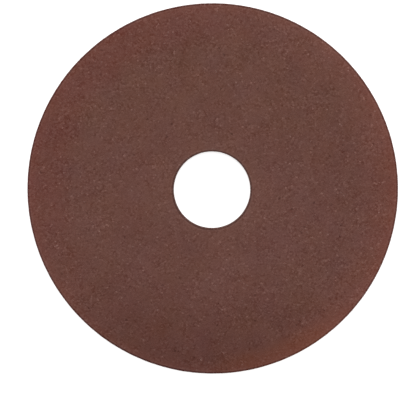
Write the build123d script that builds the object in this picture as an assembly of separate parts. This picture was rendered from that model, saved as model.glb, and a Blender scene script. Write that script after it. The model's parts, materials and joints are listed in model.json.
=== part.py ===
from build123d import *
import os

# Chainsaw sharpening wheel: one flat disc of bonded abrasive grain with a plain round bore.
# It lies on its lower face, which is at Z = 0, and it turns about Z. Sizes are in millimetres.

# Driving dimensions
outside_diameter = 108.0
bore_diameter = 22.4
thickness = 3.2
rim_corner_radius = 0.4
bore_corner_chamfer = 0.3

# The most of the thickness that one corner may take, so that a wall is left between two
corner_share = 0.45

# Values worked out from them
rim_radius = outside_diameter / 2
bore_radius = bore_diameter / 2
face_width = rim_radius - bore_radius
face_middle = (rim_radius + bore_radius) / 2
corner_limit = corner_share * thickness
rim_corner = min(rim_corner_radius, corner_limit)
bore_corner = min(bore_corner_chamfer, corner_limit)


def wheel_section():
    """The wheel's half section, from the bore's wall out to the rim, in the XZ plane."""
    with BuildSketch(Plane.XZ) as section:
        with Locations((face_middle, thickness / 2)):
            Rectangle(face_width, thickness)
        # The moulded bore has a small flat lead-in at each face
        chamfer(section.vertices().group_by(Axis.X)[0], length=bore_corner)
        # The trued rim has its two corners rounded off
        fillet(section.vertices().group_by(Axis.X)[-1], radius=rim_corner)
    return section.sketch


def abrasive_wheel():
    """The whole wheel: its section turned once about the axis of rotation."""
    return revolve(wheel_section(), axis=Axis.Z, revolution_arc=360)


os.makedirs("parts", exist_ok=True)
export_step(abrasive_wheel(), "parts/abrasive_wheel.step")
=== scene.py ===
import json
import math

import bpy
from mathutils import Matrix, Vector, noise


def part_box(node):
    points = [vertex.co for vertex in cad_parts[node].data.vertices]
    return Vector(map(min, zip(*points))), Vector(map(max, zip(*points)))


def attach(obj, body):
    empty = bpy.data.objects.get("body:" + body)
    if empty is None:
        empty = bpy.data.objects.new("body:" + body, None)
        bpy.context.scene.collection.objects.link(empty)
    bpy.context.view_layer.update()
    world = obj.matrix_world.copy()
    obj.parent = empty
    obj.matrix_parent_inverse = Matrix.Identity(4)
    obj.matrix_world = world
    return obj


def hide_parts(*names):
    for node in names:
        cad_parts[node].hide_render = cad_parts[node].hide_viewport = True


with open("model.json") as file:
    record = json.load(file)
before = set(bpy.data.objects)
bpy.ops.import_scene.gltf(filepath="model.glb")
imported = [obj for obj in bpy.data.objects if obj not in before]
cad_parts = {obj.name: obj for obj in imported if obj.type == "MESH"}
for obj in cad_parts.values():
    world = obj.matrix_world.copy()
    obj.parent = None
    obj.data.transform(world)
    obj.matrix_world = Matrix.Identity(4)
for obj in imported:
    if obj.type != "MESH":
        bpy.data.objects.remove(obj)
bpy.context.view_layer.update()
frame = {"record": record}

# The looks of a chainsaw sharpening wheel: a flat, matte, reddish-brown disc of bonded abrasive.
# Lengths are in metres in the row frame. X is the photograph's right, Y its top and Z faces it.

mm = 0.001

# Sizes of the wheel, from the frame
node_name = "abrasive_wheel"
slot_name = "bonded_abrasive"
highest_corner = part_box(node_name)[1]
bore_mount = next(m for m in frame["record"]["mounts"] if m["name"] == "bore")
thickness = highest_corner.z
rim_radius = highest_corner.x
bore_radius = bore_mount["dims"]["r_mm"] * mm
bore_corner = (thickness - bore_mount["dims"]["length_mm"] * mm) / 2
rim_corner = 0.4 * mm

# How finely the wheel's surface is divided, with fewer segments near the bore
outer_segments = 720
inner_segments = outer_segments // 2
segments_change_radius = 27 * mm
upper_face_step = 0.6 * mm
lower_face_step = 1.2 * mm
rim_wall_rows = 6
rim_corner_rows = 4
bore_wall_rows = 7

# The relief that pressing and truing leave, cut down from the ideal surface: how deep it gets,
# how large its two kinds of bumps are, and the shares of the depth that make it up
face_relief = 0.022 * mm
rim_relief = 0.05 * mm
coarse_relief_size = 1.3 * mm
fine_relief_size = 0.75 * mm
fine_relief_offset = Vector((17.0, 5.0, 9.0))
middle_share = 0.5
coarse_share = 0.7
fine_share = 0.5

# The photograph's frame, and where the wheel lies in it
image_width = 400
image_height = 404
disc_centre_px = (211.86, 190.06)
disc_radius_px = 185.50

# The camera: how far it stands from the face, and how far right and up it goes for each step back
camera_distance = 300 * mm
camera_tilt = Vector((0.0252, 0.0497))
camera_sensor = 36.0
nearest_seen = 10 * mm

# The surroundings' light, and one softbox above the wheel, towards the top of the photograph
world_light = 0.5
softbox_place = (0.03, 0.20, 0.59)
softbox_side = 0.45
softbox_watts = 2.17

# The floor lies just below the wheel, and farther out it brightens to the white of the background
floor_half_side = 4.0
floor_gap = 0.05 * mm
floor_colour = (0.8, 0.8, 0.8, 1)
floor_glow = 0.64
brightening_start = 100 * mm
brightening_end = 400 * mm
white = (1, 1, 1, 1)

# The colour of the bonded abrasive, and what each broad tint adds to it or takes away
body_colour = (0.1405, 0.0577, 0.0422)
lower_half_tint = (0.0021, 0.0001, 0.0018)
left_band_tint = (0.0033, -0.0065, -0.0048)
right_band_tint = (0.0209, 0.0011, -0.0010)
rim_band_tint = (0.0132, 0.0019, 0.0007)
orange_tint = (0.0232, 0.0042, -0.0020)
# Painted shade: the bottom darker, where less light falls
painted_shade_tint = (-0.0314, -0.0184, -0.0148)
# Painted light: the upper right paler, where more light falls
painted_light_tint = (0.0127, 0.0089, 0.0082)
bore_tint = (0.0074, 0.0054, 0.0038)

# Where each broad tint begins and where it is full: for the lower half a distance up from the
# axis, and for the others a distance out from it
lower_half_range = (26 * mm, 4 * mm)
left_band_range = (40 * mm, 47 * mm)
right_band_range = (41.5 * mm, 53 * mm)
rim_band_range = (49.8 * mm, 53.6 * mm)
orange_range = (47 * mm, 51.2 * mm)
# The next two: where the painted shade and the painted light lie
painted_shade_range = (22.7 * mm, 54 * mm)
painted_light_range = (40 * mm, 56 * mm)
bore_range = (20 * mm, 12 * mm)

# In which direction from the axis a tint lies, anticlockwise from the right, and how far it
# reaches to either side of that, in degrees
left_band_side = (138, 103)
right_band_side = (357, 78)
orange_side = (295, 26)
# The next two: the sides of the painted shade and the painted light
painted_shade_side = (266, 54)
painted_light_side = (59, 48)

# The two lines beside each edge, the dark one painted shade of the rounded edge: their tints, and
# how far from the edge each begins, is full, starts to fade and ends
# Painted shade along each rounded edge, in a fine dark line
painted_edge_shade_tint = (-0.062, -0.027, -0.019)
pale_line_tint = (0.014, 0.010, 0.009)
painted_edge_shade_range = (0.12 * mm, 0.34 * mm, 0.44 * mm, 0.66 * mm)
pale_line_range = (0.45 * mm, 0.7 * mm, 0.8 * mm, 1.1 * mm)

# Where the distance to an edge is measured from, and how near the edge a place counts as wall
rim_edge_radius = rim_radius - 0.04 * mm
bore_edge_radius = bore_radius - 0.05 * mm
wall_reach = 0.15 * mm

# What a bright facet adds to the colour, partly a paler crystal and partly a painted glint, and
# what the painted shade in the pit of a lost grain takes away
# Partly paler crystal, partly painted glint
painted_glint_tint = (0.0252, 0.0095, 0.0067)
# Painted shade in the pit of a lost grain
painted_pit_shade_tint = (-0.028, -0.013, -0.010)

# One step of warm or cool in the mottling, and one of light or dark in mottling and grain
warm_tint = (0.010, 0.000, -0.002)
cool_tint = (-0.0015, -0.001, 0.006)
light_tint = (0.460, 0.290, 0.256)

# The soft mottling: how large its features are, and how many steps of light they take
warm_size = 5 * mm
cool_size = 6 * mm
cool_offset = (1, 0, 0)
coarse_mottling_size = 8 * mm
coarse_mottling_light = 0.046
fine_mottling_size = 4 * mm
fine_mottling_light = 0.018

# The grain: its size, how uneven its sides are, and the steps of light from its tone, from its
# rounding, which is partly a darker bond and partly painted shade, and from its clusters
grain_size = 0.46 * mm
bend_size = 0.3 * mm
bend_detail = 1.0
bend_reach = Vector((0.5, 0.5, 0.5)) * mm
tone_power = 1.5
tone_light = 0.081
middle_distance = 0.37
# Partly a darker bond between grains, partly painted shade that rounds them
bond_and_rounding_shade_light = 0.047
cluster_size = 0.6 * mm
cluster_light = 0.082

# The grain and its facets stand out more in some spots and areas than in others, and toward the
# rim they stand out more still, but less at the bottom, where shade is painted
spot_size = 2 * mm
area_size = 14 * mm
area_detail = 2.0
area_share = 0.5
spot_range = 0.15
weakest_grain = 0.57
strongest_grain = 1.38
rim_grain_range = (34 * mm, 43 * mm)
rim_grain_gain = 0.11
bottom_grain_loss = 0.32

# A few grains show a bright facet, and a few are lost, most of them from the walls
facet_share = 0.03
pit_share = 0.004
wall_pit_share = 0.10

# The finish of the surface, whose facets are glossier than the bond
bond_roughness = 0.82
facet_roughness = 0.2
specular_level = 0.25
grain_relief = 0.15 * mm
bond_relief_size = 0.2 * mm
bond_relief_detail = 1.0
pit_depth = 0.5


def section_rings():
    """The rings of points that the surface is woven from, as (radius, height, normal, segments),
    from the bore's upper corner out over the upper face, round the rim and back below."""
    rings = []
    face_inner = bore_radius + bore_corner
    face_outer = rim_radius - rim_corner

    def ring(radius, height, normal):
        segments = outer_segments if radius > segments_change_radius else inner_segments
        rings.append((radius, height, normal, segments))

    def face(height, normal, start, end, step):
        """A flat face from one radius to another."""
        rows = max(2, round(abs(end - start) / step))
        for i in range(rows + 1):
            ring(start + (end - start) * i / rows, height, normal)

    def wall(radius, normal, start, end, rows):
        """A straight wall from one height to another."""
        for i in range(rows + 1):
            ring(radius, start + (end - start) * i / rows, normal)

    def corner(middle_height, start, end):
        """A rounded corner of the rim, whose normal turns from start to end, in degrees."""
        for i in range(1, rim_corner_rows):
            turn = math.radians(start + (end - start) * i / rim_corner_rows)
            out, up = math.cos(turn), math.sin(turn)
            ring(face_outer + rim_corner * out, middle_height + rim_corner * up, (out, up))

    face(thickness, (0, 1), face_inner, face_outer, upper_face_step)
    corner(thickness - rim_corner, 90, 0)
    wall(rim_radius, (1, 0), thickness - rim_corner, rim_corner, rim_wall_rows)
    corner(rim_corner, 0, -90)
    face(0.0, (0, -1), face_outer, face_inner, lower_face_step)
    wall(bore_radius, (-1, 0), bore_corner, thickness - bore_corner, bore_wall_rows)
    return rings


def relief_at(point, depth):
    """How far the real surface lies below the ideal one at a point, from 0 to depth."""
    coarse = noise.noise(point / coarse_relief_size)
    fine = noise.noise(point / fine_relief_size + fine_relief_offset)
    share = middle_share + coarse_share * coarse + fine_share * fine
    return depth * min(1.0, max(0.0, share))


def woven_faces(rings, first_vertex):
    """Faces between each ring and the next. Where the number of segments halves or doubles,
    a segment of the coarse ring meets two of the fine one."""
    faces = []
    for a in range(len(rings)):
        b = (a + 1) % len(rings)
        count_a, count_b = rings[a][3], rings[b][3]
        start_a, start_b = first_vertex[a], first_vertex[b]
        coarse_count = min(count_a, count_b)
        for i in range(coarse_count):
            j = (i + 1) % coarse_count
            if count_a == count_b:
                faces.append((start_a + i, start_b + i, start_b + j, start_a + j))
            elif count_a < count_b:
                left, right = start_a + i, start_a + j
                first, middle, last = start_b + 2 * i, start_b + 2 * i + 1, start_b + 2 * j
                faces += [(left, first, middle), (left, middle, right), (right, middle, last)]
            else:
                left, right = start_b + i, start_b + j
                first, middle, last = start_a + 2 * i, start_a + 2 * i + 1, start_a + 2 * j
                faces += [(first, left, middle), (middle, left, right), (middle, right, last)]
    return faces


def wheel_mesh():
    """The wheel as one closed mesh with the CAD solid's section and its own fine relief."""
    rings = section_rings()
    points = []
    first_vertex = []
    for radius, height, normal, segments in rings:
        first_vertex.append(len(points))
        depth = rim_relief if normal[0] > 0 else face_relief
        for k in range(segments):
            turn = 2 * math.pi * k / segments
            out = Vector((math.cos(turn), math.sin(turn), 0))
            point = out * radius + Vector((0, 0, height))
            inward = out * -normal[0] + Vector((0, 0, -normal[1]))
            points.append(point + inward * relief_at(point, depth))
    mesh = bpy.data.meshes.new("wheel_surface")
    mesh.from_pydata(points, [], woven_faces(rings, first_vertex))
    mesh.shade_smooth()
    mesh.update()
    return mesh


class Nodes:
    """Short ways to add nodes to one tree."""

    def __init__(self, tree):
        self.tree = tree
        tree.nodes.clear()

    def add(self, kind, inputs=(), **settings):
        """A new node with its settings, whose inputs are linked to a socket or set to a value."""
        made = self.tree.nodes.new(kind)
        for name, value in settings.items():
            setattr(made, name, value)
        for socket, value in dict(inputs).items():
            if isinstance(value, bpy.types.NodeSocket):
                self.tree.links.new(value, made.inputs[socket])
            else:
                made.inputs[socket].default_value = value
        return made

    def math(self, operation, *values):
        return self.add("ShaderNodeMath", enumerate(values), operation=operation).outputs[0]

    def vector(self, operation, *values):
        made = self.add("ShaderNodeVectorMath", enumerate(values), operation=operation)
        return made.outputs["Value" if operation in ("LENGTH", "DOT_PRODUCT") else "Vector"]

    def ramp(self, value, start, end, low=0.0, high=1.0):
        """low before start, high after end, and a smooth change between them."""
        inputs = {"Value": value, 1: start, 2: end, 3: low, 4: high}
        return self.add("ShaderNodeMapRange", inputs, interpolation_type="SMOOTHSTEP").outputs[0]

    def noise(self, place, size, detail=0.0):
        """Soft noise about 0, whose features are about size across."""
        inputs = {"Vector": place, "Scale": 1 / size, "Detail": detail}
        made = self.add("ShaderNodeTexNoise", inputs)
        return self.math("SUBTRACT", made.outputs[0], 0.5)

    def tinted(self, colour, tint, *shares):
        """The colour with a tint added in proportion to every share."""
        share = shares[0]
        for other in shares[1:]:
            share = self.math("MULTIPLY", share, other)
        return self.vector("MULTIPLY_ADD", share, tint, colour)


def toward(n, place, side):
    """1 in one direction from the axis, falling to 0 at its reach to either side."""
    angle, reach = side
    outward = n.vector("NORMALIZE", n.vector("MULTIPLY", place, (1, 1, 0)))
    direction = (math.cos(math.radians(angle)), math.sin(math.radians(angle)), 0)
    share = n.vector("DOT_PRODUCT", outward, direction)
    return n.ramp(share, math.cos(math.radians(reach)), 1.0)


def broad_colour(n, place, radius):
    """The body colour with its broad tints: a cooler lower half, redder bands along the rim,
    painted shade that darkens the bottom, painted light that pales the upper right, and a paler
    part round the bore."""
    height_in_disc = n.vector("DOT_PRODUCT", place, (0, 1, 0))

    def banded(colour, tint, distances, side=None):
        """The colour with a tint between two distances from the axis, all round or on one side."""
        shares = [n.ramp(radius, *distances)]
        if side:
            shares.append(toward(n, place, side))
        return n.tinted(colour, tint, *shares)

    lower_half = n.ramp(height_in_disc, *lower_half_range)
    colour = n.tinted(body_colour, lower_half_tint, lower_half)
    colour = banded(colour, left_band_tint, left_band_range, left_band_side)
    colour = banded(colour, right_band_tint, right_band_range, right_band_side)
    colour = banded(colour, rim_band_tint, rim_band_range)
    colour = banded(colour, orange_tint, orange_range, orange_side)
    # Painted shade at the bottom and painted light at the upper right
    colour = banded(colour, painted_shade_tint, painted_shade_range, painted_shade_side)
    colour = banded(colour, painted_light_tint, painted_light_range, painted_light_side)
    return banded(colour, bore_tint, bore_range)


def mottled(n, colour, place):
    """The colour with soft warm and cool patches from pressing."""
    other_place = n.vector("ADD", place, cool_offset)
    colour = n.tinted(colour, warm_tint, n.noise(place, warm_size))
    return n.tinted(colour, cool_tint, n.noise(other_place, cool_size))


def grain_strength(n, place, radius):
    """How much the grain stands out at a place, about 1 on the whole."""
    areas = n.noise(place, area_size, area_detail)
    spots = n.math("MULTIPLY_ADD", areas, area_share, n.noise(place, spot_size))
    strength = n.ramp(spots, -spot_range, spot_range, weakest_grain, strongest_grain)
    # The bottom, where shade is painted, shows less grain and fewer facets
    bottom = toward(n, place, painted_shade_side)
    rim_change = n.math("MULTIPLY_ADD", bottom, -bottom_grain_loss, rim_grain_gain)
    return n.math("MULTIPLY_ADD", n.ramp(radius, *rim_grain_range), rim_change, strength)


def grain_light(n, place, strength, tone, from_middle):
    """How light or dark the mottling and the grain are at a place, in steps of light_tint."""
    mean_tone = 1 / (tone_power + 1)
    own_tone = n.math("SUBTRACT", n.math("POWER", tone, tone_power), mean_tone)
    # Grains paler in the middle: partly a darker bond between them, partly painted shade that
    # rounds them
    bond_and_rounding_shade = n.math("SUBTRACT", middle_distance, from_middle)
    grain = n.math("MULTIPLY", own_tone, tone_light)
    grain = n.math("MULTIPLY_ADD", bond_and_rounding_shade, bond_and_rounding_shade_light, grain)
    grain = n.math("MULTIPLY_ADD", n.noise(place, cluster_size), cluster_light, grain)

    coarse_mottling = n.noise(place, coarse_mottling_size)
    fine_mottling = n.noise(place, fine_mottling_size)
    light = n.math("MULTIPLY", coarse_mottling, coarse_mottling_light)
    light = n.math("MULTIPLY_ADD", fine_mottling, fine_mottling_light, light)
    return n.math("MULTIPLY_ADD", grain, strength, light)


def edge_lined(n, colour, to_edge):
    """The colour with a fine dark line of painted shade beside the rim and the bore, and a paler
    one next to it.
    """

    def line(start, full, fading, end):
        """1 from full to fading, and 0 before start and after end."""
        rising = n.ramp(to_edge, start, full)
        falling = n.ramp(to_edge, end, fading)
        return n.math("MULTIPLY", rising, falling)

    # Painted shade along each rounded edge
    colour = n.tinted(colour, painted_edge_shade_tint, line(*painted_edge_shade_range))
    return n.tinted(colour, pale_line_tint, line(*pale_line_range))


def abrasive_material():
    """Fused grain in a brown bond: fine pale and dark grain, a redder rim and a matte surface."""
    material = bpy.data.materials.new(slot_name)
    material.use_nodes = True
    n = Nodes(material.node_tree)
    place = n.add("ShaderNodeTexCoord").outputs["Object"]
    radius = n.vector("LENGTH", n.vector("MULTIPLY", place, (1, 1, 0)))
    to_rim = n.math("SUBTRACT", rim_edge_radius, radius)
    to_bore = n.math("SUBTRACT", radius, bore_edge_radius)
    to_edge = n.math("MINIMUM", to_rim, to_bore)

    # Each grain is a cell with uneven sides and its own tone, and the palest have bright facets
    # with a painted glint
    bend_inputs = {"Vector": place, "Scale": 1 / bend_size, "Detail": bend_detail}
    bend = n.add("ShaderNodeTexNoise", bend_inputs)
    bent_place = n.vector("MULTIPLY_ADD", bend.outputs["Color"], bend_reach, place)
    cells = n.add("ShaderNodeTexVoronoi", {"Vector": bent_place, "Scale": 1 / grain_size})
    tone = n.add("ShaderNodeSeparateColor", {0: cells.outputs["Color"]}).outputs[0]
    from_middle = cells.outputs["Distance"]
    facet = n.ramp(tone, 1 - facet_share, 1.0)

    # The darkest grains are the lost ones, and their pits get painted shade
    wall = n.ramp(to_edge, wall_reach, 0.0)
    pits = n.ramp(n.math("MULTIPLY_ADD", wall, -wall_pit_share, tone), pit_share, 0.0)

    colour = broad_colour(n, place, radius)
    colour = mottled(n, colour, place)
    strength = grain_strength(n, place, radius)
    light = grain_light(n, place, strength, tone, from_middle)
    colour = n.tinted(colour, light_tint, light)
    # Bright facets: partly paler crystal, partly painted glint
    colour = n.tinted(colour, painted_glint_tint, facet, strength)
    # Painted shade in the pits of lost grains
    colour = n.tinted(colour, painted_pit_shade_tint, pits)
    colour = edge_lined(n, colour, to_edge)

    # Grains stand a little proud of the bond
    bond_relief = n.noise(place, bond_relief_size, bond_relief_detail)
    height = n.math("SUBTRACT", bond_relief, from_middle)
    height = n.math("MULTIPLY_ADD", pits, -pit_depth, height)
    bump = n.add("ShaderNodeBump", {"Height": height, "Distance": grain_relief, "Strength": 1.0})
    surface = n.add("ShaderNodeBsdfPrincipled", {
        "Base Color": colour,
        "Roughness": n.ramp(facet, 0.0, 1.0, bond_roughness, facet_roughness),
        "Specular IOR Level": specular_level,
        "Normal": bump.outputs[0],
    })
    n.add("ShaderNodeOutputMaterial", {"Surface": surface.outputs[0]})
    return material


def seen_directly(n):
    """1 for what the camera sees, straight or through gloss and glass, and 0 for other light."""
    path = n.add("ShaderNodeLightPath").outputs
    seen = n.math("MAXIMUM", path["Is Camera Ray"], path["Is Glossy Ray"])
    return n.math("MAXIMUM", seen, path["Is Transmission Ray"])


def make_world():
    """Even white surroundings, at a lower level as light than as background."""
    world = bpy.data.worlds.new("studio")
    world.use_nodes = True
    n = Nodes(world.node_tree)
    strength = n.ramp(seen_directly(n), 0.0, 1.0, world_light, 1.0)
    background = n.add("ShaderNodeBackground", {"Color": white, "Strength": strength})
    n.add("ShaderNodeOutputWorld", {"Surface": background.outputs[0]})
    bpy.context.scene.world = world


def make_floor():
    """A pale floor that keeps the wheel's soft shadow and meets the white background."""
    mesh = bpy.data.meshes.new("floor")
    side = floor_half_side
    corners = [(-side, -side), (side, -side), (side, side), (-side, side)]
    mesh.from_pydata([(x, y, -floor_gap) for x, y in corners], [], [(0, 1, 2, 3)])
    floor = bpy.data.objects.new("floor", mesh)
    bpy.context.scene.collection.objects.link(floor)
    material = bpy.data.materials.new("pale_floor")
    material.use_nodes = True
    n = Nodes(material.node_tree)
    distance = n.vector("LENGTH", n.add("ShaderNodeTexCoord").outputs["Object"])
    brightness = n.ramp(distance, brightening_start, brightening_end, floor_glow, 1.0)
    surface = n.add("ShaderNodeBsdfPrincipled", {
        "Base Color": floor_colour,
        "Roughness": 1.0,
        "Specular IOR Level": 0.0,
        "Emission Color": white,
        "Emission Strength": n.math("MULTIPLY", seen_directly(n), brightness),
    })
    n.add("ShaderNodeOutputMaterial", {"Surface": surface.outputs[0]})
    mesh.materials.append(material)


def make_softbox():
    """A square softbox that faces the middle of the wheel."""
    light = bpy.data.lights.new("softbox", "AREA")
    light.shape = "SQUARE"
    light.size = softbox_side
    light.energy = softbox_watts
    lamp = bpy.data.objects.new("softbox", light)
    lamp.location = softbox_place
    lamp.rotation_mode = "QUATERNION"
    lamp.rotation_quaternion = (-Vector(softbox_place)).to_track_quat("-Z", "Y")
    bpy.context.scene.collection.objects.link(lamp)


def make_camera():
    """Looks down on the wheel, which lies a little above the frame's middle and to its right."""
    face_scale = rim_radius / disc_radius_px
    aim = Vector((
        (image_width / 2 - disc_centre_px[0]) * face_scale,
        (disc_centre_px[1] - image_height / 2) * face_scale,
        thickness,
    ))
    back = Vector((camera_tilt.x, camera_tilt.y, 1)).normalized()
    right = Vector((0, 1, 0)).cross(back).normalized()
    up = back.cross(right)
    data = bpy.data.cameras.new("camera")
    data.sensor_width = camera_sensor
    data.lens = camera_distance / face_scale / max(image_width, image_height) * camera_sensor
    data.clip_start = nearest_seen
    camera = bpy.data.objects.new("camera", data)
    turned = Matrix((right, up, back)).transposed().to_4x4()
    camera.matrix_world = Matrix.Translation(aim + back * camera_distance) @ turned
    bpy.context.scene.collection.objects.link(camera)
    bpy.context.scene.camera = camera


wheel = bpy.data.objects.new("wheel", wheel_mesh())
bpy.context.scene.collection.objects.link(wheel)
wheel.data.materials.append(abrasive_material())
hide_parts(node_name)
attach(wheel, "root")

make_world()
make_floor()
make_softbox()
make_camera()
bpy.context.scene.view_settings.view_transform = "Standard"
